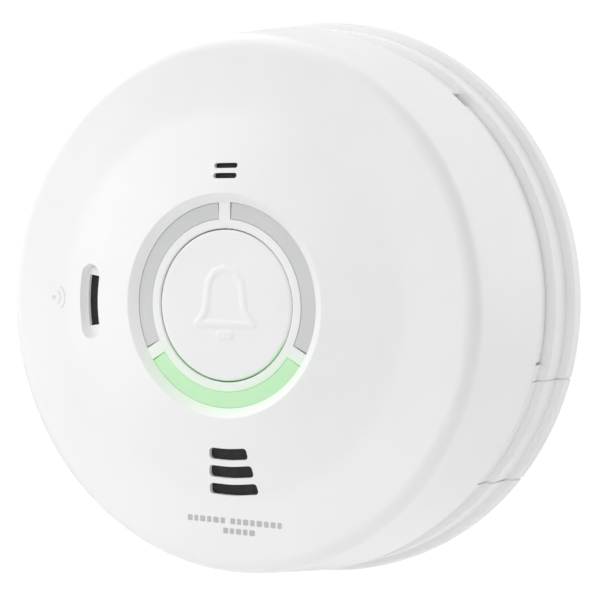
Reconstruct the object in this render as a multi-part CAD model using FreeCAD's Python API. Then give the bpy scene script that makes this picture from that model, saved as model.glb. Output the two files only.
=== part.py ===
"""Wall-mounted carbon monoxide alarm: a round head that slides onto a stepped wall base.

Frame: millimetres, +Z up, +X to the right as seen from the room, the room on the -Y side.
The origin is the centre of the wall face, so the wall is the plane y = 0.  Most sizes are
given as a place on the front (x, z) and a height above the wall h, where y = -h.
"""
import FreeCAD, Part
import math
import os

from FreeCAD import Vector

OUT = "parts"

# ---- driving dimensions of the wall base
BASE_R = 70.25           # largest radius of the stepped skirt, at the wall
TIER_3_R = 70.1          # radius of the lowest tier at its top edge
TIER_3_TOP = 3.95        # height of the lowest ledge
TIER_2_FOOT_R = 68.15
TIER_2_R = 67.85
LEDGE = 10.7             # height of the upper ledge
DECK = 9.8               # height of the deck inside the raised wall
DECK_T = 2.0
SKIRT_T = 1.9
WALL_R = 65.95           # raised wall that carries on the line of the head's neck
WALL_T = 1.8
WALL_TOP = 14.35
DOOR_FROM = -12.2        # the raised wall is open between these azimuths, degrees from +X
DOOR_TO = 49.4
RAIL_TOP = 13.9
KNOCKOUT_TOP = -17.8     # mini-trunking knock-out: its two cut lines on the skirt
KNOCKOUT_BOTTOM = -42.8
FIXING_X = 8.0           # wall screws: two slots, one above the other
FIXING_SPACING = 56.0
FIXING_SLOT_L = 15.0
FIXING_SLOT_W = 4.5
CABLE_X = -45.0          # cable entry through the base
CABLE_Z = 14.0
CABLE_COLLAR_R = 7.5
CABLE_R = 4.5

# ---- driving dimensions of the head
RIM = 14.5               # rear rim of the front cover, at the end of its neck
RIM_R = 65.9
DEEP_RIM = 10.95         # the neck reaches down to here in the opening of the raised wall
DEEP_R = 65.5
DEEP_FROM = -11.7
DEEP_TO = 45.7
LIP = 20.3               # rear edge of the tapered side wall, where it steps in to the neck
LIP_R = 67.15
FACE = 46.8              # flat ring of the front
FACE_R = 63.0            # where the flat ring and the side wall would meet
SHOULDER_ROUND = 3.8
CONE_FOOT_R = 45.6
CREST_R = 26.2           # crest of the raised cone, round the light ring
CREST = 49.4
COVER_T = 2.0
RING = 47.8              # level of the light ring
GUIDE_OUTER_R = 24.1
GUIDE_INNER_R = 20.2
BORE_R = 18.0            # button bore
BUTTON_R = 17.75
BUTTON_TOP = 47.7
BUTTON_TRAVEL = 1.0
BRIDGE_W = 3.0
BRIDGE_AZIMUTHS = (90.0, 210.0, 330.0)
REAR_FLOOR = 14.6
REAR_FLOOR_T = 2.0
PCB = 24.0               # rear face of the circuit board
PCB_T = 1.6
PCB_TOP = PCB + PCB_T
PCB_R = 52.5
GAP = 0.05               # assembly clearance between fixed pieces

SCREW_R = 56.5           # circle of the four housing screws
SCREW_AZIMUTHS = (60.0, 120.0, 240.0, 300.0)
POST_R = 49.0            # circle of the four board posts
POST_AZIMUTHS = (45.0, 135.0, 225.0, 315.0)

SENSOR = (0.0, -39.0)    # places on the front, (x, z)
SOUNDER = (-38.5, 0.0)
UPPER_VENTS = ((0.82, 32.6, 1.2), (0.72, 30.25, 1.25))     # middle x, middle z, height
LOWER_VENTS = (                                            # left x, right x, inner and outer radius
    (-3.95, 6.2, 33.6, 36.35),
    (-4.3, 7.4, 37.85, 40.65),
    (-4.5, 8.4, 42.15, 44.8),
)
VENT_WALL = 1.1          # the cover is thinned to this behind the vents, where the gauzes lie
TROUGH_FLOOR = 45.6
CELLS = ((37.0, 13.0), (37.0, -13.0))
POLES = (0.0, 8.0, 16.0, 24.0)
PRONG_POLES = POLES[1:]
BLOCK_LEFT = -32.0
BLOCK_RIGHT = -1.6
BLOCK_TOP = 13.9
BLADE = 11.7             # underside of the contact blades

AXIS = Vector(0, -1, 0)  # out of the wall; turns from +X towards +Z


# ---- building blocks
def at(x, z, h):
    return Vector(x, -h, z)


def rounded_wire(corners):
    """Closed wire through (point, rounding radius) corners, with tangent arcs."""
    edges = []
    starts = []
    count = len(corners)
    for i, (point, radius) in enumerate(corners):
        before = (corners[i - 1][0] - point).normalize()
        after = (corners[(i + 1) % count][0] - point).normalize()
        if radius <= 0:
            starts.append((point, point, None))
            continue
        half = before.getAngle(after) / 2
        reach = radius / math.tan(half)
        bisector = (before + after).normalize()
        middle = point + bisector * (radius / math.sin(half) - radius)
        starts.append((point + before * reach, point + after * reach, middle))
    for i, (arc_in, arc_out, middle) in enumerate(starts):
        if middle is not None:
            edges.append(Part.Arc(arc_in, middle, arc_out).toShape())
        following = starts[(i + 1) % count][0]
        if arc_out.distanceToPoint(following) > 1e-6:
            edges.append(Part.LineSegment(arc_out, following).toShape())
    return Part.Wire(edges)


def lathe(outline, start=0.0, sweep=360.0, centre=(0.0, 0.0)):
    """Revolve (radius, height[, rounding]) corners about an axis out of the wall."""
    corners = [(at(c[0], 0, c[1]), c[2] if len(c) > 2 else 0.0) for c in outline]
    face = Part.Face(rounded_wire(corners))
    face.rotate(Vector(0, 0, 0), AXIS, start)
    solid = face.revolve(Vector(0, 0, 0), AXIS, sweep)
    solid.translate(at(centre[0], centre[1], 0))
    return solid


def prism(outline, low, high):
    """Extrude (x, z[, rounding]) corners from height low to height high."""
    corners = [(at(c[0], c[1], low), c[2] if len(c) > 2 else 0.0) for c in outline]
    return Part.Face(rounded_wire(corners)).extrude(AXIS * (high - low))


def block(x0, x1, z0, z1, low, high, rounding=0.0):
    outline = [(x, z, rounding) for x, z in ((x0, z0), (x1, z0), (x1, z1), (x0, z1))]
    return prism(outline, low, high)


def rod(centre, radius, low, high):
    return Part.makeCylinder(radius, high - low, at(centre[0], centre[1], low), AXIS)


def along_x(x0, x1, z, h, radius):
    return Part.makeCylinder(radius, x1 - x0, at(x0, z, h), Vector(1, 0, 0))


def slot(centre, size, low, high):
    """Opening with round ends, of the given (x, z) size."""
    x, z = centre
    half_x, half_z = size[0] / 2, size[1] / 2
    return block(x - half_x, x + half_x, z - half_z, z + half_z, low, high, min(half_x, half_z) - 0.001)


def spot(azimuth, radius):
    angle = math.radians(azimuth)
    return (radius * math.cos(angle), radius * math.sin(angle))


def turned(shape, azimuth):
    copy = shape.copy()
    copy.rotate(Vector(0, 0, 0), AXIS, azimuth)
    return copy


def fused(shapes):
    first, *rest = shapes
    return first.fuse(rest).removeSplitter() if rest else first


def cut(shape, tools):
    return shape.cut(list(tools))


# ---- front cover
def cone_height(radius):
    """Height of the raised cone's outer face at a radius."""
    return CREST - (CREST - FACE) * (radius - CREST_R) / (CONE_FOOT_R - CREST_R)


def cover_shell():
    inner_face = FACE - COVER_T
    return lathe([
        (GUIDE_OUTER_R, RING),
        (CREST_R, CREST, 0.6),
        (CONE_FOOT_R, FACE, 20.0),
        (FACE_R, FACE, SHOULDER_ROUND),
        (LIP_R, LIP, 0.5),
        (RIM_R, LIP - 0.3, 0.3),
        (RIM_R, RIM, 0.1),
        (RIM_R - COVER_T, RIM),
        (RIM_R - COVER_T, LIP + 0.7),
        (LIP_R - 2.3, LIP + 2.1),
        (FACE_R - 1.9, inner_face, 2.6),
        (CONE_FOOT_R - 0.1, inner_face, 18.0),
        (CREST_R + 0.2, CREST - COVER_T),
        (GUIDE_OUTER_R, RING - COVER_T),
    ])


def upper_vents():
    return [slot((x, z), (6.3, tall), 40, 52) for x, z, tall in UPPER_VENTS]


def lower_vents():
    """Three openings along circles about the middle, each wider than the one above it."""
    vents = []
    for left, right, inner_r, outer_r in LOWER_VENTS:
        middle = (left + right) / 2
        corners = (
            (left - 0.15, outer_r, 0.9), (middle, outer_r, 30.0), (right + 0.35, outer_r, 0.9),
            (right - 0.25, inner_r, 0.9), (middle, inner_r, 30.0), (left + 0.1, inner_r, 0.9),
        )
        outline = [(x, -math.sqrt(radius ** 2 - x ** 2), rounding) for x, radius, rounding in corners]
        vents.append(prism(outline, 40, 52))
    return vents


def vent_pocket(inner_r, outer_r, start, sweep):
    """Space behind a group of vents, where the cover is thinner."""
    inner_h = cone_height(inner_r) - VENT_WALL
    outer_h = cone_height(outer_r) - VENT_WALL
    return lathe([(inner_r, inner_h), (outer_r, outer_h), (outer_r, 42.0), (inner_r, 42.0)], start, sweep)


def arc_slot_wire(inner_r, outer_r, half_sweep, h):
    """Outline of a slot with round ends that is bent about the middle, on the sounder's side."""
    middle_r = (inner_r + outer_r) / 2
    end_r = (outer_r - inner_r) / 2
    first, last = 180 - half_sweep, 180 + half_sweep

    def on(azimuth, radius):
        return at(*spot(azimuth, radius), h)

    def end(azimuth, side):
        tip = math.degrees(end_r / middle_r) * side
        return on(azimuth + tip, middle_r)

    return Part.Wire([
        Part.Arc(on(first, outer_r), on(180, outer_r), on(last, outer_r)).toShape(),
        Part.Arc(on(last, outer_r), end(last, 1), on(last, inner_r)).toShape(),
        Part.Arc(on(last, inner_r), on(180, inner_r), on(first, inner_r)).toShape(),
        Part.Arc(on(first, inner_r), end(first, -1), on(first, outer_r)).toShape(),
    ])


def sounder_pad():
    """Thickens the cover under the trough, so that its floor is closed round the opening."""
    return lathe([(34.6, 44.7), (43.2, 44.7), (43.2, 45.6), (34.6, 46.8)], 180 - 16, 32)


def sounder_slot():
    """A trough with a sloping outer side beside the cone, and the sounder's opening in its floor."""
    floor_wire = arc_slot_wire(36.0, 40.8, 9.7, TROUGH_FLOOR)
    mouth_wire = arc_slot_wire(35.7, 42.4, 9.0, 49.0)
    trough = Part.makeLoft([floor_wire, mouth_wire], True, True)
    opening = lathe([(36.6, 40), (36.6, 52), (40.3, 52), (40.3, 40)], 170.5, 18.1)
    return [trough, opening]


def front_cover():
    deep_rim = lathe([
        (RIM_R - COVER_T, DEEP_RIM),
        (DEEP_R, DEEP_RIM, 0.3),
        (DEEP_R + 0.3, RIM + 0.8),
        (RIM_R - COVER_T, RIM + 0.8),
    ], DEEP_FROM, DEEP_TO - DEEP_FROM)
    ring = lathe([(BORE_R, RING, 0.4), (GUIDE_INNER_R, RING, 0.2), (GUIDE_INNER_R, 44.0), (BORE_R, 44.0)])
    bridge = block(GUIDE_INNER_R - 0.5, GUIDE_OUTER_R + 0.3, -BRIDGE_W / 2, BRIDGE_W / 2, 44.6, RING)
    bridges = [turned(bridge, azimuth) for azimuth in BRIDGE_AZIMUTHS]
    bosses = [rod(spot(azimuth, SCREW_R), 3.4, 18.8, FACE - 1.4) for azimuth in SCREW_AZIMUTHS]
    pilots = [rod(spot(azimuth, SCREW_R), 1.25, 18, 30) for azimuth in SCREW_AZIMUTHS]
    shell = fused([cover_shell(), deep_rim, ring, sounder_pad()] + bridges + bosses)
    pockets = [vent_pocket(28.6, 34.3, 79.5, 18.5), vent_pocket(32.8, 45.5, 258.5, 29.0)]
    return cut(shell, pilots + pockets + upper_vents() + lower_vents() + sounder_slot())


# ---- light ring
def light_guide(first_bridge):
    """A frosted sector between two bridges, with a collar that stops it under the cover."""
    outer = GUIDE_OUTER_R - GAP
    inner = GUIDE_INNER_R + GAP
    clear = math.degrees((BRIDGE_W / 2 + 0.1) / GUIDE_INNER_R)
    return lathe([
        (inner, RING - 0.15, 0.2),
        (outer, RING - 0.15, 0.2),
        (outer, 44.3),
        (25.4, 44.3, 0.3),
        (25.4, 43.0, 0.3),
        (23.6, 43.0),
        (23.6, 28.0),
        (20.9, 28.0),
        (20.9, 44.0),
        (inner, 44.0),
    ], first_bridge + clear, 120 - 2 * clear)


def status_leds():
    led = block(20.9, 23.6, -1.0, 1.0, PCB_TOP, PCB_TOP + 1.4, 0.2)
    azimuths = [bridge + offset for bridge in BRIDGE_AZIMUTHS for offset in (35, 60, 85)]
    return Part.Compound([turned(led, azimuth) for azimuth in azimuths])


# ---- test button
def bell_relief():
    """A plain bell outline in low relief, with its clapper below."""
    base = BUTTON_TOP - 0.3
    top = BUTTON_TOP + 0.25
    body = prism([
        (-7.4, -4.0, 0.6), (7.4, -4.0, 0.6), (5.0, -1.4, 1.6),
        (4.4, 7.4, 4.2), (-4.4, 7.4, 4.2), (-5.0, -1.4, 1.6),
    ], base, top)
    hollow = prism([
        (-5.0, -2.6, 0.4), (5.0, -2.6, 0.4), (3.5, -0.8, 1.0),
        (3.0, 6.0, 2.9), (-3.0, 6.0, 2.9), (-3.5, -0.8, 1.0),
    ], base - 1, top + 1)
    crown = rod((0, 8.4), 1.3, base, top)
    clapper = block(-2.3, 2.3, -7.4, -5.2, base, top, 1.05)
    return [body.cut(hollow), crown, clapper]


def test_button():
    cap = lathe([
        (0, BUTTON_TOP), (BUTTON_R, BUTTON_TOP, 0.6), (BUTTON_R, 42.0), (16.0, 42.0),
        (16.0, 45.6), (2.2, 45.6), (2.2, 31.4), (0, 31.4),
    ])
    tab = lathe([(15.9, 42.0), (19.5, 42.0), (19.5, 43.3), (17.7, 43.6), (15.9, 43.6)], -12, 24)
    tabs = [turned(tab, azimuth) for azimuth in (30, 150, 270)]
    return fused([cap] + tabs + bell_relief())


def switch_plunger():
    return rod((0, 0), 1.7, 27.6, 31.4)


def test_switch():
    body = block(-3, 3, -3, 3, PCB_TOP, 29.6, 0.4)
    return body.cut(rod((0, 0), 1.77, 26.2, 30))


def return_spring():
    """Compression spring of square wire, from the board up to the underside of the button."""
    half, coil_r, turns = 0.35, 5.0, 6
    low, high = PCB_TOP + half + 0.03, 45.2
    helix = Part.makeHelix((high - low) / turns, high - low, coil_r)
    corners = [Vector(coil_r + dx, 0, dz)
               for dx, dz in ((-half, -half), (half, -half), (half, half), (-half, half), (-half, -half))]
    coil = Part.Wire(helix).makePipeShell([Part.makePolygon(corners)], True, True)
    coil.rotate(Vector(0, 0, 0), Vector(1, 0, 0), 90)
    coil.translate(at(0, 0, low))
    return coil


# ---- vent gauzes, sounder and gas sensor
def gauze(inner_r, outer_r, start, sweep):
    """A thin sheet in the pocket behind a group of vents."""
    inner_h = cone_height(inner_r) - VENT_WALL - 0.1
    outer_h = cone_height(outer_r) - VENT_WALL - 0.1
    outline = [(inner_r, inner_h), (outer_r, outer_h), (outer_r, outer_h - 0.3), (inner_r, inner_h - 0.3)]
    return lathe(outline, start, sweep)


def sounder_gauze():
    return block(-42.8, -34.6, -9.0, 9.0, 44.3, 44.6, 0.8)


def sounder_horn():
    horn = lathe([(11.0, 27.0), (12.0, 27.0), (12.0, 42.6, 0.6), (5.0, 42.6), (5.0, 41.4), (11.0, 41.4)],
                 centre=SOUNDER)
    seat = lathe([(10.2, 29.3), (11.1, 29.3), (11.1, 30.3), (10.2, 30.3)], centre=SOUNDER)
    feet = [rod((SOUNDER[0] + dx, SOUNDER[1] + dz), 1.2, PCB_TOP, 28.0)
            for dx, dz in (spot(angle, 11.4) for angle in (30, 150, 270))]
    return fused([horn, seat] + [foot.cut(rod(SOUNDER, 11.0, 27.0, 28.5)) for foot in feet])


def piezo_disc():
    brass = rod(SOUNDER, 10.8, 28.7, 29.0)
    ceramic = rod(SOUNDER, 7.5, 29.0, 29.2)
    return fused([brass, ceramic])


def co_sensor():
    return lathe([
        (0, PCB_TOP), (10.0, PCB_TOP, 0.3), (10.0, 39.6, 0.4), (9.2, 39.6), (9.2, 41.0, 0.4),
        (2.0, 41.0), (2.0, 40.4), (0, 40.4),
    ], centre=SENSOR)


def sensor_gasket():
    return lathe([(8.0, 41.0), (9.2, 41.0), (9.2, 42.4), (8.0, 42.4)], centre=SENSOR)


# ---- electronics
def main_pcb():
    board = rod((0, 0), PCB_R, PCB, PCB_TOP)
    post_holes = [rod(spot(azimuth, POST_R), 1.3, 20, 30) for azimuth in POST_AZIMUTHS]
    prong_slots = [block(2.65, 3.55, z - 1.55, z + 1.55, 20, 30) for z in PRONG_POLES]
    return cut(board, post_holes + prong_slots)


def pcb_screws():
    screws = []
    for azimuth in POST_AZIMUTHS:
        centre = spot(azimuth, POST_R)
        top = PCB_TOP + 1.5
        head = lathe([(0, PCB_TOP), (2.2, PCB_TOP), (2.2, top, 0.5), (0, top)], centre=centre)
        head = cut(head, cross_recess(centre, 0.5, 1.3, PCB_TOP + 0.8, PCB_TOP + 2))
        screws.append(fused([head, rod(centre, 1.15, 18.0, PCB_TOP)]))
    return Part.Compound(screws)


def cross_recess(centre, width, reach, low, high):
    x, z = centre
    return [
        block(x - reach, x + reach, z - width / 2, z + width / 2, low, high),
        block(x - width / 2, x + width / 2, z - reach, z + reach, low, high),
    ]


def switching_transformer():
    core = block(-18, -6, 32, 44, PCB_TOP, 36, 0.5)
    window = block(-16.2, -7.8, 30, 46, 28, 33.5)
    winding = block(-16.2, -7.8, 32.6, 43.4, 28, 33.5, 0.3)
    return fused([core.cut(window), winding])


def mains_filter_capacitor():
    return block(4, 17, 34, 40, PCB_TOP, 37, 0.8)


def smoothing_capacitors():
    cans = []
    for centre in ((-26.0, 34.0), (-28.0, 24.0)):
        can = lathe([(0, PCB_TOP), (4.0, PCB_TOP, 0.3), (4.0, 26.8), (3.8, 27.1), (4.0, 27.4),
                     (4.0, 37.0, 0.5), (3.2, 37.0), (3.2, 36.8), (0, 36.8)], centre=centre)
        cans.append(can)
    return Part.Compound(cans)


def power_inductor():
    return lathe([(0, PCB_TOP), (4.2, PCB_TOP), (4.2, 27.0), (3.0, 27.6), (3.0, 31.4), (4.2, 32.0),
                  (4.2, 33.2), (0, 33.2)], centre=(24.0, 36.0))


def fuse_resistor():
    height = PCB_TOP + 1.75
    body = along_x(0.5, 9.5, 46.0, height, 1.6)
    leads = [along_x(x, x + 2.5, 46.0, height, 0.35) for x in (-1.8, 9.3)]
    legs = [rod((x, 46.0), 0.35, PCB_TOP, height) for x in (-1.8, 11.8)]
    return fused([body] + leads + legs)


def microcontroller():
    body = block(-30, -22, -32, -24, PCB_TOP + 0.1, PCB_TOP + 1.3, 0.2)
    pins = []
    for k in range(8):
        offset = -31.2 + k * 0.9
        pins.append(block(-31, -21, offset, offset + 0.35, PCB_TOP, PCB_TOP + 0.35))
    return fused([body] + pins)


def backup_cells():
    cells = []
    for centre in CELLS:
        cells.append(lathe([
            (0, 26.2), (10.2, 26.2), (10.2, 26.5), (11.5, 26.7, 0.3), (11.5, 29.2, 0.4), (0, 29.2),
        ], centre=centre))
    return Part.Compound(cells)


def cell_tabs():
    """Welded strips that carry each cell: one under it and one over it, both with a leg to the board."""
    tabs = []
    for x, z in CELLS:
        side = 1 if z > 0 else -1
        under = block(x - 9, x + 2, z - 2, z + 2, PCB_TOP, 26.2)
        over = block(x - 2, x + 2, min(z, z + side * 13), max(z, z + side * 13), 29.2, 29.5)
        far = z + side * 13
        leg = block(x - 2, x + 2, min(far, far - side * 0.4), max(far, far - side * 0.4), PCB_TOP, 29.2)
        tabs += [under, fused([over, leg])]
    return Part.Compound(tabs)


def contact_prongs():
    prongs = []
    for z in PRONG_POLES:
        blade = block(-7.5, 3.5, z - 1.5, z + 1.5, BLADE, BLADE + 0.8)
        leg = block(2.7, 3.5, z - 1.5, z + 1.5, BLADE, PCB_TOP + 0.8)
        prongs.append(fused([blade, leg]))
    return Part.Compound(prongs)


# ---- rear housing of the head
def skid(x0, x1, web, tongue):
    return [
        block(x0, x1, web[0], web[1], 10.85, REAR_FLOOR + 0.5),
        block(x0, x1, tongue[0], tongue[1], 10.85, 11.8),
    ]


def rear_housing():
    floor_top = REAR_FLOOR + REAR_FLOOR_T
    floor = rod((0, 0), RIM_R - COVER_T - 0.2, REAR_FLOOR, floor_top)
    rim = lathe([(62.0, floor_top - 0.5), (63.3, floor_top - 0.5), (63.2, 20.0, 0.4), (62.0, 20.0)])
    posts = [rod(spot(azimuth, POST_R), 2.6, floor_top - 0.5, PCB) for azimuth in POST_AZIMUTHS]
    bosses = [rod(spot(azimuth, SCREW_R), 4.9, floor_top - 0.5, 18.6) for azimuth in SCREW_AZIMUTHS]
    carrier = block(-1.0, 6.0, 4.0, 28.0, 11.15, REAR_FLOOR + 0.5, 0.6)
    rib = block(53.0, 55.0, 10.0, 18.0, 11.2, REAR_FLOOR + 0.5)
    solid = fused([floor, rim, carrier, rib] + posts + bosses
                  + skid(-44, 58, (-9.6, -7.6), (-12.2, -7.6))
                  + skid(-34, 44, (39.6, 41.6), (39.6, 44.2)))
    pockets = [rod(spot(azimuth, SCREW_R), 3.3, REAR_FLOOR - 1, 16.8) for azimuth in SCREW_AZIMUTHS]
    through = [rod(spot(azimuth, SCREW_R), 1.7, 16, 19) for azimuth in SCREW_AZIMUTHS]
    pilots = [rod(spot(azimuth, POST_R), 1.2, 17.4, PCB + 1) for azimuth in POST_AZIMUTHS]
    prong_ways = []
    for z in PRONG_POLES:
        prong_ways.append(block(-2, 3.55, z - 1.55, z + 1.55, BLADE - GAP, BLADE + 0.85))
        prong_ways.append(block(2.65, 3.55, z - 1.55, z + 1.55, BLADE, 20))
    return cut(solid, pockets + through + pilots + prong_ways)


def housing_screws():
    screws = []
    for azimuth in SCREW_AZIMUTHS:
        centre = spot(azimuth, SCREW_R)
        head = lathe([(0, 16.8), (2.9, 16.8), (2.9, 14.9, 0.8), (0, 14.9)], centre=centre)
        head = cut(head, cross_recess(centre, 0.7, 1.7, 14, 15.9))
        screws.append(fused([head, rod(centre, 1.2, 16.8, 28.0)]))
    return Part.Compound(screws)


# ---- wall base
def base_skirt(inset=0.0):
    """The stepped skirt and deck; inset makes the same shape smaller, for shallow cut lines."""
    return lathe([
        (0, DECK - inset),
        (WALL_R - WALL_T, DECK - inset),
        (WALL_R - WALL_T, LEDGE - inset),
        (TIER_2_R - inset, LEDGE - inset, 0.5),
        (TIER_2_FOOT_R - inset, TIER_3_TOP - inset),
        (TIER_3_R - inset, TIER_3_TOP - inset, 0.6),
        (BASE_R - inset, 0),
        (BASE_R - SKIRT_T, 0),
        (BASE_R - SKIRT_T - 0.1, TIER_3_TOP - SKIRT_T), (TIER_2_FOOT_R - SKIRT_T, TIER_3_TOP - SKIRT_T),
        (TIER_2_R - SKIRT_T, DECK - DECK_T), (0, DECK - DECK_T),
    ])


def raised_wall(inset=0.0):
    outer = WALL_R - inset
    return lathe([(WALL_R - WALL_T, DECK - 0.5), (outer, DECK - 0.5), (outer, WALL_TOP, 0.1),
                  (WALL_R - WALL_T, WALL_TOP, 0.3)], DOOR_TO, 360 + DOOR_FROM - DOOR_TO)


def knockout_lines():
    """Shallow lines across the steps where a flap is broken out for surface trunking."""
    depth, width = 0.35, 0.5
    whole = fused([base_skirt(), raised_wall()])
    skin = whole.cut(fused([base_skirt(depth), raised_wall(depth)]))
    bands = [block(30, 75, z - width / 2, z + width / 2, -1, 20) for z in (KNOCKOUT_TOP, KNOCKOUT_BOTTOM)]
    return skin.common(Part.Compound(bands))


def slide_rail(x0, x1, web, flange):
    return [
        block(x0, x1, web[0], web[1], DECK - 0.5, RAIL_TOP),
        block(x0, x1, flange[0], flange[1], 12.1, RAIL_TOP),
    ]


def fixing_centres():
    return [(FIXING_X, side * FIXING_SPACING / 2) for side in (-1, 1)]


def stadium(centre, radius, low, high):
    """Round-ended column along Z, as wide as 2 x radius, round the travel of a wall screw."""
    x, z = centre
    reach = (FIXING_SLOT_L - FIXING_SLOT_W) / 2
    return fused([
        rod((x, z - reach), radius, low, high),
        rod((x, z + reach), radius, low, high),
        block(x - radius, x + radius, z - reach, z + reach, low, high),
    ])


def mounting_base():
    well = block(BLOCK_LEFT - 2.5, BLOCK_RIGHT + 2.1, -6.5, 30.5, 0, DECK - 0.5, 1.0)
    collar = rod((CABLE_X, CABLE_Z), CABLE_COLLAR_R + 1.8, 0, DECK - 0.5)
    cups = [stadium(centre, 6.3, 0, DECK - 0.5) for centre in fixing_centres()]
    nib = block(47.5, 51.5, 11.0, 18.0, DECK - 0.5, 10.9, 0.3)
    solid = fused([base_skirt(), raised_wall(), well, collar, nib] + cups
                  + slide_rail(-45, 54, (-14.1, -12.5), (-14.1, -9.9))
                  + slide_rail(-36, 38, (44.5, 46.1), (41.9, 46.1)))
    well_space = block(BLOCK_LEFT - 0.5, BLOCK_RIGHT + 0.4, -4.5, 28.5, 2.0, 20)
    cable_hole = rod((CABLE_X, CABLE_Z), CABLE_COLLAR_R, -1, 20)
    cup_spaces = [stadium(centre, 4.8, 2.5, 20) for centre in fixing_centres()]
    fixing_slots = [stadium(centre, FIXING_SLOT_W / 2, -1, 5) for centre in fixing_centres()]
    finger_slits = [
        block(28, 52.8, 9.2, 10.0, 5, 12),
        block(28, 52.8, 19.0, 19.8, 5, 12),
        block(52.0, 52.8, 9.2, 19.8, 5, 12),
    ]
    tools = [well_space, cable_hole, knockout_lines()] + cup_spaces + fixing_slots + finger_slits
    return cut(solid, tools)


def cable_grommet():
    return lathe([
        (CABLE_R, 1.0), (CABLE_COLLAR_R, 1.0), (CABLE_COLLAR_R, DECK),
        (CABLE_COLLAR_R + 1.0, DECK), (CABLE_COLLAR_R + 1.0, 11.2, 0.4), (CABLE_R, 11.2),
    ], centre=(CABLE_X, CABLE_Z))


def terminal_block():
    body = block(BLOCK_LEFT, BLOCK_RIGHT, -4, 28, 2.0, BLOCK_TOP, 0.4)
    tools = []
    for z in POLES:
        tools.append(block(-8.2, 0, z - 1.9, z + 1.9, 11.3, 12.9))
        tools.append(block(-20.1, -3.0, z - 1.6, z + 1.6, 10.85, 11.35))
        tools.append(block(-28.1, -19.9, z - 2.7, z + 2.7, 5.9, 12.65))
        tools.append(rod((-24.0, z), 2.3, 12, 20))
        tools.append(along_x(BLOCK_LEFT - 1, -28, z, 11.0, 1.8))
    barriers = [block(BLOCK_LEFT + 1.5, -14, z + 3.7, z + 4.3, 13.2, 15) for z in POLES[:3]]
    return cut(body, tools + barriers)


def terminal_clamps():
    """Brass cages with a strip that runs on as the floor of each socket."""
    clamps = []
    for z in POLES:
        cage = block(-28.0, -20.0, z - 2.6, z + 2.6, 6.0, 12.6, 0.3)
        wire_way = along_x(-29, -20.8, z, 10.2, 2.0)
        screw_way = rod((-24.0, z), 1.45, 9, 14)
        strip = block(-20.4, -3.1, z - 1.5, z + 1.5, 10.9, 11.3)
        clamps.append(fused([cut(cage, [wire_way, screw_way]), strip]))
    return Part.Compound(clamps)


def terminal_screws():
    screws = []
    for z in POLES:
        centre = (-24.0, z)
        head = rod(centre, 2.0, 12.6, 13.5).cut(block(-26.5, -21.5, z - 0.3, z + 0.3, 13.0, 14))
        screws.append(fused([head, rod(centre, 1.4, 9.5, 12.6)]))
    return Part.Compound(screws)


def terminal_cover():
    lid = block(-55.0, -32.4, -0.5, 28.5, DECK, BLOCK_TOP, 1.2)
    space = block(-53.8, -31.0, 0.7, 27.3, DECK - 1, BLOCK_TOP - 1.2)
    finger_hole = slot((-50.5, 14.0), (1.6, 8.0), 10, 20)
    return cut(lid, [space, finger_hole])


PIECES = {
    "front_cover": front_cover,
    "light_guide_left": lambda: light_guide(BRIDGE_AZIMUTHS[0]),
    "light_guide_bottom": lambda: light_guide(BRIDGE_AZIMUTHS[1]),
    "light_guide_right": lambda: light_guide(BRIDGE_AZIMUTHS[2]),
    "upper_vent_gauze": lambda: gauze(28.8, 34.1, 80.0, 17.5),
    "lower_vent_gauze": lambda: gauze(33.0, 45.3, 259.0, 28.0),
    "sounder_gauze": sounder_gauze,
    "sounder_horn": sounder_horn,
    "piezo_disc": piezo_disc,
    "co_sensor": co_sensor,
    "sensor_gasket": sensor_gasket,
    "main_pcb": main_pcb,
    "pcb_screws": pcb_screws,
    "status_leds": status_leds,
    "test_switch": test_switch,
    "microcontroller": microcontroller,
    "switching_transformer": switching_transformer,
    "mains_filter_capacitor": mains_filter_capacitor,
    "smoothing_capacitors": smoothing_capacitors,
    "power_inductor": power_inductor,
    "fuse_resistor": fuse_resistor,
    "backup_cells": backup_cells,
    "cell_tabs": cell_tabs,
    "contact_prongs": contact_prongs,
    "rear_housing": rear_housing,
    "housing_screws": housing_screws,
    "test_button": test_button,
    "switch_plunger": switch_plunger,
    "return_spring": return_spring,
    "mounting_base": mounting_base,
    "cable_grommet": cable_grommet,
    "terminal_block": terminal_block,
    "terminal_clamps": terminal_clamps,
    "terminal_screws": terminal_screws,
    "terminal_cover": terminal_cover,
}

os.makedirs(OUT, exist_ok=True)
for name, build in PIECES.items():
    shape = build()
    if not shape.isValid():
        raise RuntimeError(name + " is not a valid solid")
    shape.exportStep(os.path.join(OUT, name + ".step"))
    print("%-24s solids %2d  volume %10.1f mm3" % (name, len(shape.Solids), shape.Volume))
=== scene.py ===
import math

import bmesh
import bpy
from mathutils import Matrix, Vector


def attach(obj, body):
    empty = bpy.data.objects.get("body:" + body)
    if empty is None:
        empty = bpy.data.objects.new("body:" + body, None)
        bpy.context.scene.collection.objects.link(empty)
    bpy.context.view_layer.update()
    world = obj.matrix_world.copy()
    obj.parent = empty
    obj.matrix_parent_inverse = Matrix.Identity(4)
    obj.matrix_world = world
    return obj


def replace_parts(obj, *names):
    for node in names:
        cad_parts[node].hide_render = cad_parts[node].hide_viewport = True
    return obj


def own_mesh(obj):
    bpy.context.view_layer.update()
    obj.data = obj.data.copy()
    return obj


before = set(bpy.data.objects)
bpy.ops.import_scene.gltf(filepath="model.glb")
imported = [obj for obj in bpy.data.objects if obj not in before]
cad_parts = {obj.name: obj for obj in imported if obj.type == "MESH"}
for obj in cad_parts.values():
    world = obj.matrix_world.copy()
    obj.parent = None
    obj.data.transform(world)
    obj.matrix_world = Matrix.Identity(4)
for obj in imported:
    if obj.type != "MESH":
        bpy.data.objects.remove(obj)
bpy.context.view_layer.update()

MM = 0.001
FACE = 46.8              # flat ring of the front, above the wall
BUTTON_TOP = 47.7
BUTTON_R = 17.75
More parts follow.
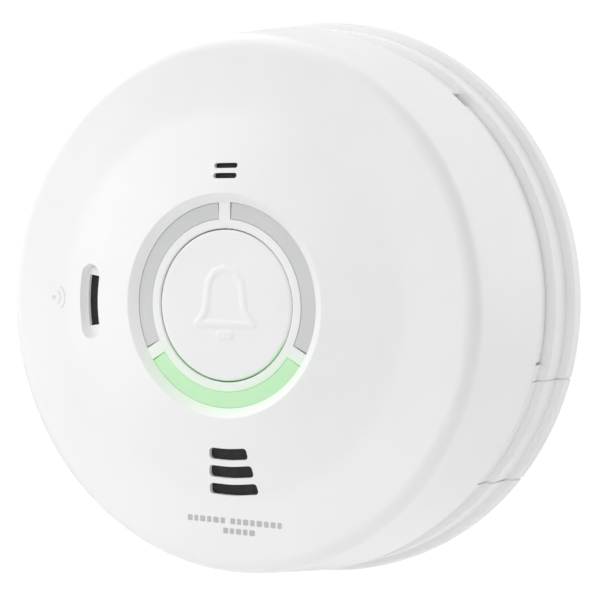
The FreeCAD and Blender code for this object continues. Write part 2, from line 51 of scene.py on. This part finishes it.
BUTTON_FOOT = 42.0       # lower edge of the button's skirt
BUTTON_BORE = 16.0       # inside of that skirt
BUTTON_CEILING = 45.6    # underside of the button's top
STEM_R = 2.2             # stem that reaches down to the test switch
STEM_FOOT = 31.4
GUIDE_R = 22.15          # middle of the light ring
SPRING_FOOT = 25.6       # front of the circuit board, where the button's spring stands
SPRING_TOP = 45.2
PRINT_LOW = FACE - 0.05  # printing starts just under the face and stands just clear of it
PRINT_HIGH = FACE + 0.012
SHARP_EDGE = 35          # degrees between faces, above which an edge is shaded sharp


# ---------------------------------------------------------------- mesh helpers, in millimetres
def at(x, z, h):
    """Place on the front (x, z) at a height above the wall, in metres."""
    return Vector((x * MM, -h * MM, z * MM))


def rounded(corners, steps=7):
    """Closed outline of (a, b[, rounding]) corners, with the rounded ones turned into arcs."""
    points = []
    for i, corner in enumerate(corners):
        p = Vector(corner[:2])
        radius = corner[2] if len(corner) > 2 else 0
        if radius <= 0:
            points.append(p)
            continue
        before = (Vector(corners[i - 1][:2]) - p).normalized()
        after = (Vector(corners[(i + 1) % len(corners)][:2]) - p).normalized()
        half = before.angle(after) / 2
        centre = p + (before + after).normalized() * (radius / math.sin(half))
        reach = radius / math.tan(half)
        first = p + before * reach - centre
        last = p + after * reach - centre
        turn = math.atan2(first.x * last.y - first.y * last.x, first.dot(last))
        for k in range(steps + 1):
            a = turn * k / steps
            c, s = math.cos(a), math.sin(a)
            points.append(centre + Vector((first.x * c - first.y * s, first.x * s + first.y * c)))
    return points


def lathe(bm, outline, segments=192, start=0.0, sweep=360.0, centre=(0.0, 0.0)):
    """Adds an outline of (radius, height) points turned about an axis out of the wall."""
    full = sweep >= 360
    count = segments if full else segments + 1
    rings = []
    for p in outline:
        if p[0] < 1e-6:
            rings.append([bm.verts.new(at(centre[0], centre[1], p[1]))])
            continue
        ring = []
        for k in range(count):
            a = math.radians(start + sweep * k / segments)
            x = centre[0] + p[0] * math.cos(a)
            z = centre[1] + p[0] * math.sin(a)
            ring.append(bm.verts.new(at(x, z, p[1])))
        rings.append(ring)
    for i, ring in enumerate(rings):
        following = rings[(i + 1) % len(rings)]
        if len(ring) == 1 and len(following) == 1:
            continue
        for k in range(segments):
            j = (k + 1) % count
            loop = [ring[k % len(ring)], ring[j % len(ring)],
                    following[j % len(following)], following[k % len(following)]]
            bm.faces.new(list(dict.fromkeys(loop)))
    if not full:
        bm.faces.new([ring[0] for ring in rings])
        bm.faces.new([ring[-1] for ring in rings])


def prism(bm, outline, low, high):
    """Adds an (x, z) outline between two heights."""
    bottom = [bm.verts.new(at(p[0], p[1], low)) for p in outline]
    top = [bm.verts.new(at(p[0], p[1], high)) for p in outline]
    bm.faces.new(bottom)
    bm.faces.new(top)
    for i in range(len(outline)):
        j = (i + 1) % len(outline)
        bm.faces.new((bottom[i], bottom[j], top[j], top[i]))


def bar(bm, x, z, width, height, low, high):
    """Adds a block with rounded corners about (x, z)."""
    w, h = width / 2, height / 2
    r = min(w, h) * 0.45
    corners = [(x - w, z - h, r), (x + w, z - h, r), (x + w, z + h, r), (x - w, z + h, r)]
    prism(bm, rounded(corners, 4), low, high)


def piece(name, bm, material, body):
    """Turns a mesh into a named object that rides on a body, smooth except at real edges."""
    bmesh.ops.recalc_face_normals(bm, faces=bm.faces)
    mesh = bpy.data.meshes.new(name)
    bm.to_mesh(mesh)
    bm.free()
    for face in mesh.polygons:
        face.use_smooth = True
    mesh.set_sharp_from_angle(angle=math.radians(SHARP_EDGE))
    mesh.materials.append(material)
    obj = bpy.data.objects.new(name, mesh)
    bpy.context.scene.collection.objects.link(obj)
    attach(obj, body)
    return obj


# ---------------------------------------------------------------- materials
PAINTED_GLOW_FULL = -0.58        # sine of the angle round the ring, below which the painted green glow is full
PAINTED_GLOW_NONE = -0.40        # and above which there is none


class Surface:
    """A Principled material whose colour, roughness and bump come from nodes in object space."""

    def __init__(self, name, **sockets):
        self.mat = bpy.data.materials.new(name)
        self.mat.use_nodes = True
        self.tree = self.mat.node_tree
        self.shader = self.tree.nodes["Principled BSDF"]
        self.place = self.node("ShaderNodeTexCoord").outputs["Object"]
        for socket, value in sockets.items():
            self.shader.inputs[socket.replace("_", " ")].default_value = value

    def node(self, kind, **settings):
        made = self.tree.nodes.new(kind)
        for key, value in settings.items():
            setattr(made, key, value)
        return made

    def link(self, source, target):
        self.tree.links.new(source, target)

    def stretched(self, scale):
        mapping = self.node("ShaderNodeMapping")
        mapping.inputs["Scale"].default_value = scale
        self.link(self.place, mapping.inputs["Vector"])
        return mapping.outputs["Vector"]

    def noise(self, scale, detail=3.0, stretch=(1, 1, 1)):
        made = self.node("ShaderNodeTexNoise")
        made.inputs["Scale"].default_value = scale
        made.inputs["Detail"].default_value = detail
        self.link(self.stretched(stretch), made.inputs["Vector"])
        return made.outputs["Fac"]

    def ramp(self, source, low, high, start=0.3, end=0.7):
        made = self.node("ShaderNodeValToRGB")
        made.color_ramp.elements[0].position = start
        made.color_ramp.elements[1].position = end
        made.color_ramp.elements[0].color = (*low, 1)
        made.color_ramp.elements[1].color = (*high, 1)
        self.link(source, made.inputs["Fac"])
        return made.outputs["Color"]

    def spread(self, source, low, high):
        made = self.node("ShaderNodeMapRange")
        made.inputs["From Min"].default_value = 0.3
        made.inputs["From Max"].default_value = 0.7
        made.inputs["To Min"].default_value = low
        made.inputs["To Max"].default_value = high
        self.link(source, made.inputs["Value"])
        return made.outputs["Result"]

    def colour(self, source, low, high, start=0.3, end=0.7):
        self.link(self.ramp(source, low, high, start, end), self.shader.inputs["Base Color"])
        return self

    def painted_glow_mask(self, half_width, falloff):
        """Mask of the painted green glow: 1 beside the lit light guide, fading to 0 at falloff millimetres
        from it.
        """
        flat = self.node("ShaderNodeVectorMath", operation="MULTIPLY")
        flat.inputs[1].default_value = (1, 0, 1)
        self.link(self.place, flat.inputs[0])
        length = self.node("ShaderNodeVectorMath", operation="LENGTH")
        self.link(flat.outputs["Vector"], length.inputs[0])
        parts = self.node("ShaderNodeSeparateXYZ")
        self.link(self.place, parts.inputs[0])
        low_down = self.node("ShaderNodeMath", operation="DIVIDE")
        self.link(parts.outputs["Z"], low_down.inputs[0])
        self.link(length.outputs["Value"], low_down.inputs[1])
        offset = self.node("ShaderNodeMath", operation="SUBTRACT")
        offset.inputs[1].default_value = GUIDE_R * MM
        self.link(length.outputs["Value"], offset.inputs[0])
        away = self.node("ShaderNodeMath", operation="ABSOLUTE")
        self.link(offset.outputs[0], away.inputs[0])
        spans = (
            (low_down.outputs[0], PAINTED_GLOW_FULL, PAINTED_GLOW_NONE),
            (away.outputs[0], half_width * MM, (half_width + falloff) * MM),
        )
        masks = []
        for source, full, none in spans:
            fade = self.node("ShaderNodeMapRange", interpolation_type="SMOOTHSTEP")
            fade.inputs["From Min"].default_value = full
            fade.inputs["From Max"].default_value = none
            fade.inputs["To Min"].default_value = 1.0
            fade.inputs["To Max"].default_value = 0.0
            self.link(source, fade.inputs["Value"])
            masks.append(fade.outputs["Result"])
        both = self.node("ShaderNodeMath", operation="MULTIPLY")
        self.link(masks[0], both.inputs[0])
        self.link(masks[1], both.inputs[1])
        return both.outputs[0]

    def tinted(self, mask, tint):
        """Blends the base colour towards a tint where the mask is 1; here it paints the green glow of the
        lit guide into the colour.
        """
        mix = self.node("ShaderNodeMix", data_type="RGBA")
        mix.inputs["B"].default_value = (*tint, 1)
        self.link(mask, mix.inputs["Factor"])
        self.link(self.shader.inputs["Base Color"].links[0].from_socket, mix.inputs["A"])
        self.link(mix.outputs["Result"], self.shader.inputs["Base Color"])
        return self

    def roughness(self, source, low, high):
        self.link(self.spread(source, low, high), self.shader.inputs["Roughness"])
        return self

    def bump(self, source, depth, strength=1.0):
        made = self.node("ShaderNodeBump")
        made.inputs["Strength"].default_value = strength
        made.inputs["Distance"].default_value = depth * MM
        self.link(source, made.inputs["Height"])
        self.link(made.outputs["Normal"], self.shader.inputs["Normal"])
        return self


def moulded(name, low, high, rough, grain=1100.0, depth=0.006, glow=None, **sockets):
    """Moulded plastic or rubber: spark-eroded grain, and a slow drift of tone and gloss.

    glow, as (half width, falloff, tint), is a painted green glow: the base colour tinted green beside the
    lit light guide, standing in for its light.
    """
    s = Surface(name, **sockets)
    drift = s.noise(38.0, 4.0)
    s.colour(drift, low, high)
    if glow:
        half_width, falloff, tint = glow
        # painted glow: the light of the lit guide painted green into the base colour
        s.tinted(s.painted_glow_mask(half_width, falloff), tint)
    s.roughness(s.noise(210.0, 5.0), rough - 0.05, rough + 0.06)
    return s.bump(s.noise(grain, 2.0), depth).mat


def metal(name, low, high, rough, stretch):
    """Drawn or rolled metal, with fine lines along the way it was worked and dull patches."""
    s = Surface(name, Metallic=1.0)
    lines = s.noise(900.0, 4.0, stretch)
    s.colour(s.noise(160.0, 5.0), low, high)
    s.roughness(lines, rough - 0.08, rough + 0.12)
    return s.bump(lines, 0.01, 0.6).mat


def frosted(name, low, high, glow=0.0, light=(1, 1, 1)):
    """Frosted diffuser: milky body with flow marks; the lit one also gives light of its own."""
    s = Surface(name, IOR=1.49, Subsurface_Weight=0.25, Subsurface_Scale=0.002)
    s.colour(s.noise(55.0, 3.0), low, high)
    s.roughness(s.noise(400.0, 4.0), 0.32, 0.46)
    s.bump(s.noise(1600.0, 2.0), 0.006)
    if glow > 0:
        s.shader.inputs["Emission Strength"].default_value = glow
        edge = tuple(c * 0.93 for c in light)
        s.link(s.ramp(s.noise(70.0, 2.0), edge, light), s.shader.inputs["Emission Color"])
    return s.mat


def woven(name, thread, gap, pitch):
    """Woven gauze: two crossed sets of round threads, with painted shade in the gaps between them."""
    s = Surface(name)
    waves = []
    for axis in ("X", "Z"):
        made = s.node("ShaderNodeTexWave", wave_type="BANDS", bands_direction=axis, wave_profile="SIN")
        made.inputs["Scale"].default_value = 0.314 / (pitch * MM)
        made.inputs["Distortion"].default_value = 0.0
        s.link(s.place, made.inputs["Vector"])
        waves.append(made.outputs["Fac"])
    both = s.node("ShaderNodeMath", operation="MAXIMUM")
    s.link(waves[0], both.inputs[0])
    s.link(waves[1], both.inputs[1])
    # the gap colour is painted shade for the openings between the threads
    s.colour(both.outputs[0], gap, thread, 0.45, 0.9)
    s.roughness(s.noise(500.0), 0.6, 0.8)
    return s.bump(both.outputs[0], 0.12).mat


def circuit_board():
    """Green solder mask over a maze of copper tracks, with tinned pads."""
    s = Surface("circuit_board", Coat_Weight=0.35, Coat_Roughness=0.2)
    tracks = s.node("ShaderNodeTexVoronoi", feature="DISTANCE_TO_EDGE", distance="CHEBYCHEV")
    tracks.inputs["Scale"].default_value = 210.0
    s.link(s.place, tracks.inputs["Vector"])
    pads = s.node("ShaderNodeTexVoronoi", feature="F1")
    pads.inputs["Scale"].default_value = 230.0
    s.link(s.place, pads.inputs["Vector"])
    mask = s.ramp(tracks.outputs["Distance"], (0.020, 0.115, 0.040), (0.008, 0.062, 0.022), 0.05, 0.07)
    tin = s.ramp(pads.outputs["Distance"], (1, 1, 1), (0, 0, 0), 0.13, 0.15)
    mix = s.node("ShaderNodeMix", data_type="RGBA")
    mix.inputs["B"].default_value = (0.55, 0.56, 0.55, 1)
    s.link(tin, mix.inputs["Factor"])
    s.link(mask, mix.inputs["A"])
    s.link(mix.outputs["Result"], s.shader.inputs["Base Color"])
    s.roughness(s.noise(300.0), 0.3, 0.45)
    return s.bump(tracks.outputs["Distance"], 0.03).mat


SHELL_WHITE = ((0.855, 0.857, 0.860), (0.885, 0.885, 0.886))
FINISH = {
    "white_shell": moulded("white_shell", *SHELL_WHITE, 0.42, Coat_Weight=0.06),
    # white_cover and white_button carry the painted green glow of the lit guide in their base colour
    "white_cover": moulded("white_cover", *SHELL_WHITE, 0.42,
                           glow=(1.9, 3.2, (0.80, 0.92, 0.79)), Coat_Weight=0.06),
    "white_button": moulded("white_button", (0.850, 0.852, 0.855), (0.880, 0.880, 0.881), 0.40,
                            glow=(4.45, 0.45, (0.50, 0.88, 0.47)), Coat_Weight=0.06),
    "white_base": moulded("white_base", (0.845, 0.847, 0.850), (0.878, 0.878, 0.879), 0.45),
    "frosted_guide": frosted("frosted_guide", (0.60, 0.61, 0.61), (0.65, 0.655, 0.655)),
    # lit_guide: its green base colour is painted light of the LED behind it, and its emission is light of
    # its own
    "lit_guide": frosted("lit_guide", (0.42, 0.60, 0.41), (0.47, 0.65, 0.46), 0.40, (0.30, 0.62, 0.29)),
    # dark_gauze: its second colour is painted shade in the gaps between the threads
    "dark_gauze": woven("dark_gauze", (0.030, 0.030, 0.032), (0.006, 0.006, 0.007), 0.35),
    "black_plastic": moulded("black_plastic", (0.018, 0.018, 0.019), (0.028, 0.028, 0.030), 0.45),
    "black_rubber": moulded("black_rubber", (0.016, 0.016, 0.016), (0.030, 0.029, 0.028), 0.75,
                            700.0, 0.02),
    "pcb_green": circuit_board(),
    "led_lens": frosted("led_lens", (0.75, 0.77, 0.72), (0.82, 0.84, 0.78)),
    "steel": metal("steel", (0.52, 0.52, 0.53), (0.66, 0.66, 0.67), 0.30, (1, 1, 6)),
    "brass": metal("brass", (0.62, 0.44, 0.17), (0.76, 0.57, 0.25), 0.28, (6, 1, 1)),
    "yellow_film": moulded("yellow_film", (0.72, 0.46, 0.03), (0.80, 0.55, 0.06), 0.38, 900.0, 0.01),
    "blue_sleeve": moulded("blue_sleeve", (0.015, 0.06, 0.22), (0.025, 0.09, 0.30), 0.32, 800.0, 0.01),
    "ceramic": moulded("ceramic", (0.58, 0.50, 0.38), (0.68, 0.60, 0.46), 0.6, 500.0, 0.02),
    "grey_terminal": moulded("grey_terminal", (0.36, 0.37, 0.38), (0.43, 0.44, 0.45), 0.5),
}
INK = moulded("ink", (0.47, 0.47, 0.48), (0.54, 0.54, 0.55), 0.6)
FAINT_INK = moulded("faint_ink", (0.66, 0.67, 0.68), (0.71, 0.72, 0.73), 0.6)


# ---------------------------------------------------------------- test button and its spring
BELL_HEIGHT = 0.22       # how far the bell stands out of the button
BELL_REACH = 11          # no part of it lies further from the middle


def segment_distance(p, a, b):
    """Distance from a point to a straight stretch between a and b."""
    ab = b - a
    t = max(0.0, min(1.0, (p - a).dot(ab) / ab.length_squared))
    return (p - a - ab * t).length


def bell_relief(x, z):
    """Height of a softly raised plain bell, with its crown and clapper."""
    p = Vector((x, z))
    half = [(0, 8.6), (2.6, 7.9), (4.4, 5.6), (4.9, 2.2), (5.2, -1.0), (6.3, -2.8), (7.6, -4.4), (0, -4.4)]
    line = [Vector(q) for q in half] + [Vector((-q[0], q[1])) for q in reversed(half[1:-1])]
    edge = min(segment_distance(p, line[i], line[(i + 1) % len(line)]) for i in range(len(line)))
    clapper = abs(segment_distance(p, Vector((-1.3, -6.9)), Vector((1.3, -6.9))) - 0.4)
    near = min(edge - 0.75, clapper - 0.55)
    t = max(0.0, min(1.0, (0.5 - near) / 1.0))
    return BELL_HEIGHT * t * t * (3 - 2 * t)


def test_button():
    """Round cap with a raised bell, a stem for the switch, and three hooks that hold it in the cover."""
    bm = bmesh.new()
    rim = rounded([(BUTTON_R, BUTTON_TOP, 0.6), (BUTTON_R, BUTTON_FOOT), (BUTTON_BORE, BUTTON_FOOT),
                   (BUTTON_BORE, BUTTON_CEILING), (STEM_R, BUTTON_CEILING), (STEM_R, STEM_FOOT),
                   (0, STEM_FOOT), (0, BUTTON_TOP)])
    ring_step, ring_count = 0.2, 84
    top = [Vector((k * ring_step, BUTTON_TOP)) for k in range(ring_count)]
    lathe(bm, top + rim[:-1], 224)
    hook = [(15.9, BUTTON_FOOT), (19.5, BUTTON_FOOT), (19.5, 43.3), (17.7, 43.6), (15.9, 43.6)]
    for azimuth in (30, 150, 270):
        lathe(bm, rounded(hook), 12, azimuth - 12, 24)
    for vert in bm.verts:
        x, h, z = vert.co.x / MM, -vert.co.y / MM, vert.co.z / MM
        if abs(h - BUTTON_TOP) < 1e-4 and math.hypot(x, z) < BELL_REACH:
            vert.co.y = -(BUTTON_TOP + bell_relief(x, z)) * MM
    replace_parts(piece("button_cap", bm, FINISH["white_button"], "button"), "test_button")


def return_spring():
    """Coil of round wire between the board and the button."""
    wire_r, coil_r, turns = 0.34, 5.0, 6
    around, steps = 14, 288
    clearance = 0.04
    low, high = SPRING_FOOT + wire_r + clearance, SPRING_TOP
    bm = bmesh.new()
    rings = []
    for k in range(steps + 1):
        a = 2 * math.pi * turns * k / steps
        h = low + (high - low) * k / steps
        ring = []
        for j in range(around):
            b = 2 * math.pi * j / around
            r = coil_r + wire_r * math.cos(b)
            ring.append(bm.verts.new(at(r * math.cos(a), r * math.sin(a), h + wire_r * math.sin(b))))
        rings.append(ring)
    for one, following in zip(rings, rings[1:]):
        for j in range(around):
            i = (j + 1) % around
            bm.faces.new((one[j], one[i], following[i], following[j]))
    bm.faces.new(rings[0])
    bm.faces.new(rings[-1])
    coil = piece("spring_coil", bm, FINISH["steel"], "head")
    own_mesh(coil)
    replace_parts(coil, "return_spring")


# ---------------------------------------------------------------- printing on the front
def printed_rows():
    """Two rows of plain blocks with no letters, where such an alarm carries its printing."""
    bm = bmesh.new()
    gap, word_gap = 0.5, 0.95
    widths = (1.35, 1.10, 1.45, 1.20, 1.50, 1.25)
    for left, groups, z, tall in ((-10.9, (6, 8), -50.75, 1.40), (-1.05, (5,), -53.10, 1.35)):
        x = left
        for number in groups:
            for k in range(number):
                width = widths[k % len(widths)]
                bar(bm, x + width / 2, z, width, tall, PRINT_LOW, PRINT_HIGH)
                x += width + gap
            x += word_gap
    piece("printed_blocks", bm, INK, "head")


def sound_mark():
    """Faint printed mark beside the sounder: a dot with two plain arcs."""
    bm = bmesh.new()
    low, high = PRINT_LOW, PRINT_HIGH
    centre = (-49.9, 0.8)
    dot_r, half_line = 0.55, 0.17
    lathe(bm, [(0, low), (dot_r, low), (dot_r, high), (0, high)], 32, centre=centre)
    for radius in (2.0, 3.4):
        inner, outer = radius - half_line, radius + half_line
        lathe(bm, [(inner, low), (outer, low), (outer, high), (inner, high)], 24, -52, 104, centre)
    piece("sound_mark", bm, FAINT_INK, "head")


# ---------------------------------------------------------------- camera, light and floor
VIEW_ANGLES = (28.486, 2.779, 0.036)    # azimuth, elevation and roll, in degrees
VIEW_DISTANCE = 0.43869                 # along the view, from the middle of the wall face
VIEW_LEFT = 0.0051945                   # how far left of that middle the camera stands
VIEW_DOWN = 0.0007165                   # and how far below it
LENS, SENSOR = 102.0, 36.0

KEY_LIGHT = (-90, 45, 3.0)              # azimuth, elevation, strength: large, from the left and above
FILL_LIGHT = (30, 20, 1.5)              # weak, from the front
RIM_LIGHT = (140, 20, 2.0)              # from behind on the right
PATCH_FOCUS = 4.0                       # higher makes each of those patches narrower
NEAR_LIGHT_POWER = 0.5
BACKDROP = 1.05                         # brightness that the camera sees behind the object


def view_axes(azimuth, elevation, roll):
    """Right, up and backward directions of a camera that looks at the front from that angle."""
    a, e, t = (math.radians(v) for v in (azimuth, elevation, roll))
    back = Vector((math.sin(a) * math.cos(e), -math.cos(a) * math.cos(e), math.sin(e)))
    level = Vector((math.cos(a), math.sin(a), 0))
    up = back.cross(level)
    return level * math.cos(t) + up * math.sin(t), up * math.cos(t) - level * math.sin(t), back


def camera():
    right, up, back = view_axes(*VIEW_ANGLES)
    data = bpy.data.cameras.new("camera")
    data.sensor_width = SENSOR
    data.lens = LENS
    data.clip_start = 0.01
    data.clip_end = 20.0
    obj = bpy.data.objects.new("camera", data)
    place = back * VIEW_DISTANCE - right * VIEW_LEFT - up * VIEW_DOWN
    obj.matrix_world = Matrix((
        (right.x, up.x, back.x, place.x),
        (right.y, up.y, back.y, place.y),
        (right.z, up.z, back.z, place.z),
        (0, 0, 0, 1),
    ))
    bpy.context.scene.collection.objects.link(obj)
    bpy.context.scene.camera = obj


def area_light(name, place, size, power):
    """Rectangular light that points at the middle of the object."""
    aim = (0, -0.03, 0)
    data = bpy.data.lights.new(name, "AREA")
    data.shape = "RECTANGLE"
    data.size, data.size_y = size
    data.energy = power
    obj = bpy.data.objects.new(name, data)
    obj.location = place
    obj.rotation_mode = "QUATERNION"
    obj.rotation_quaternion = (Vector(place) - Vector(aim)).to_track_quat("Z", "Y")
    obj.visible_camera = False
    bpy.context.scene.collection.objects.link(obj)


def direction(azimuth, elevation):
    """Unit vector towards a light; azimuth 0 is the front and 90 the right."""
    a, e = math.radians(azimuth), math.radians(elevation)
    return math.sin(a) * math.cos(e), -math.cos(a) * math.cos(e), math.sin(e)


def soft_boxes(nodes, links, boxes):
    """Brightness of the surroundings: a sum of broad soft patches (azimuth, elevation, strength)."""
    place = nodes.new("ShaderNodeTexCoord").outputs["Generated"]
    total = None
    for azimuth, elevation, strength in boxes:
        facing = nodes.new("ShaderNodeVectorMath")
        facing.operation = "DOT_PRODUCT"
        facing.inputs[1].default_value = direction(azimuth, elevation)
        links.new(place, facing.inputs[0])
        value = facing.outputs["Value"]
        for operation, amount in (("MAXIMUM", 0.0), ("POWER", PATCH_FOCUS), ("MULTIPLY", strength)):
            step = nodes.new("ShaderNodeMath")
            step.operation = operation
            step.inputs[1].default_value = amount
            links.new(value, step.inputs[0])
            value = step.outputs[0]
        if total is not None:
            add = nodes.new("ShaderNodeMath")
            add.operation = "ADD"
            links.new(total, add.inputs[0])
            links.new(value, add.inputs[1])
            value = add.outputs[0]
        total = value
    return total


def studio():
    """Soft surroundings that light the object, seen by the camera as plain white, and a light near by."""
    world = bpy.data.worlds.new("studio")
    bpy.context.scene.world = world
    world.use_nodes = True
    nodes, links = world.node_tree.nodes, world.node_tree.links
    nodes.clear()
    out = nodes.new("ShaderNodeOutputWorld")
    soft = nodes.new("ShaderNodeBackground")
    seen = nodes.new("ShaderNodeBackground")
    mix = nodes.new("ShaderNodeMixShader")
    path = nodes.new("ShaderNodeLightPath")
    soft.inputs["Color"].default_value = (1, 1, 1, 1)
    patches = soft_boxes(nodes, links, (KEY_LIGHT, FILL_LIGHT, RIM_LIGHT))
    links.new(patches, soft.inputs["Strength"])
    seen.inputs["Color"].default_value = (1, 1, 1, 1)
    seen.inputs["Strength"].default_value = BACKDROP
    links.new(path.outputs["Is Camera Ray"], mix.inputs[0])
    links.new(soft.outputs[0], mix.inputs[1])
    links.new(seen.outputs[0], mix.inputs[2])
    links.new(mix.outputs[0], out.inputs["Surface"])
    area_light("near_left", (-0.30, -0.32, 0.05), (0.2, 0.4), NEAR_LIGHT_POWER)


def floor():
    """Plain pale floor well below the alarm, which hangs on a wall that is not shown."""
    bm = bmesh.new()
    half, z = 0.6, -0.35
    corners = [(-half, -half), (half, -half), (half, half), (-half, half)]
    bm.faces.new([bm.verts.new((x, y, z)) for x, y in corners])
    mesh = bpy.data.meshes.new("floor")
    bm.to_mesh(mesh)
    bm.free()
    obj = bpy.data.objects.new("floor", mesh)
    mesh.materials.append(moulded("floor", (0.84, 0.84, 0.84), (0.88, 0.88, 0.88), 0.8, 60.0, 0.1))
    bpy.context.scene.collection.objects.link(obj)


# ---------------------------------------------------------------- finish of each CAD piece
NODE_SLOTS = {
    "front_cover": "white_cover", "mounting_base": "white_base", "terminal_cover": "white_base",
    "rear_housing": "white_shell", "test_button": "white_button",
    "light_guide_left": "frosted_guide", "light_guide_right": "frosted_guide",
    "light_guide_bottom": "lit_guide",
    "upper_vent_gauze": "dark_gauze", "lower_vent_gauze": "dark_gauze", "sounder_gauze": "dark_gauze",
    "sounder_horn": "black_plastic", "piezo_disc": "brass", "co_sensor": "steel",
    "sensor_gasket": "black_rubber", "main_pcb": "pcb_green", "pcb_screws": "steel",
    "status_leds": "led_lens", "test_switch": "black_plastic",
    "microcontroller": "black_plastic", "switching_transformer": "yellow_film",
    "mains_filter_capacitor": "yellow_film", "smoothing_capacitors": "blue_sleeve",
    "power_inductor": "black_plastic", "fuse_resistor": "ceramic", "backup_cells": "steel",
    "cell_tabs": "steel",
    "contact_prongs": "brass", "housing_screws": "steel", "switch_plunger": "white_button",
    "return_spring": "steel", "cable_grommet": "black_rubber", "terminal_block": "grey_terminal",
    "terminal_clamps": "brass", "terminal_screws": "steel",
}


def finish_nodes():
    """Gives each CAD node its material."""
    for node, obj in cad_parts.items():
        obj.data.materials.clear()
        obj.data.materials.append(FINISH[NODE_SLOTS[node]])


def even_shading(node):
    """Joins the seams between a CAD node's faces and shades it evenly, sharp only at real edges."""
    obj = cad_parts[node]
    weld = obj.modifiers.new("join_seams", "WELD")
    weld.merge_threshold = 0.002 * MM
    split = obj.modifiers.new("sharp_edges", "EDGE_SPLIT")
    split.split_angle = math.radians(28)
    split.use_edge_sharp = False
    even = obj.modifiers.new("even_shading", "WEIGHTED_NORMAL")
    even.weight = 80
    even.thresh = 0.02


# ---------------------------------------------------------------- the scene
finish_nodes()
for node in ("mounting_base", "front_cover"):
    even_shading(node)
test_button()
return_spring()
printed_rows()
sound_mark()
camera()
studio()
floor()

scene = bpy.context.scene
scene.view_settings.view_transform = "Standard"
scene.view_settings.look = "None"
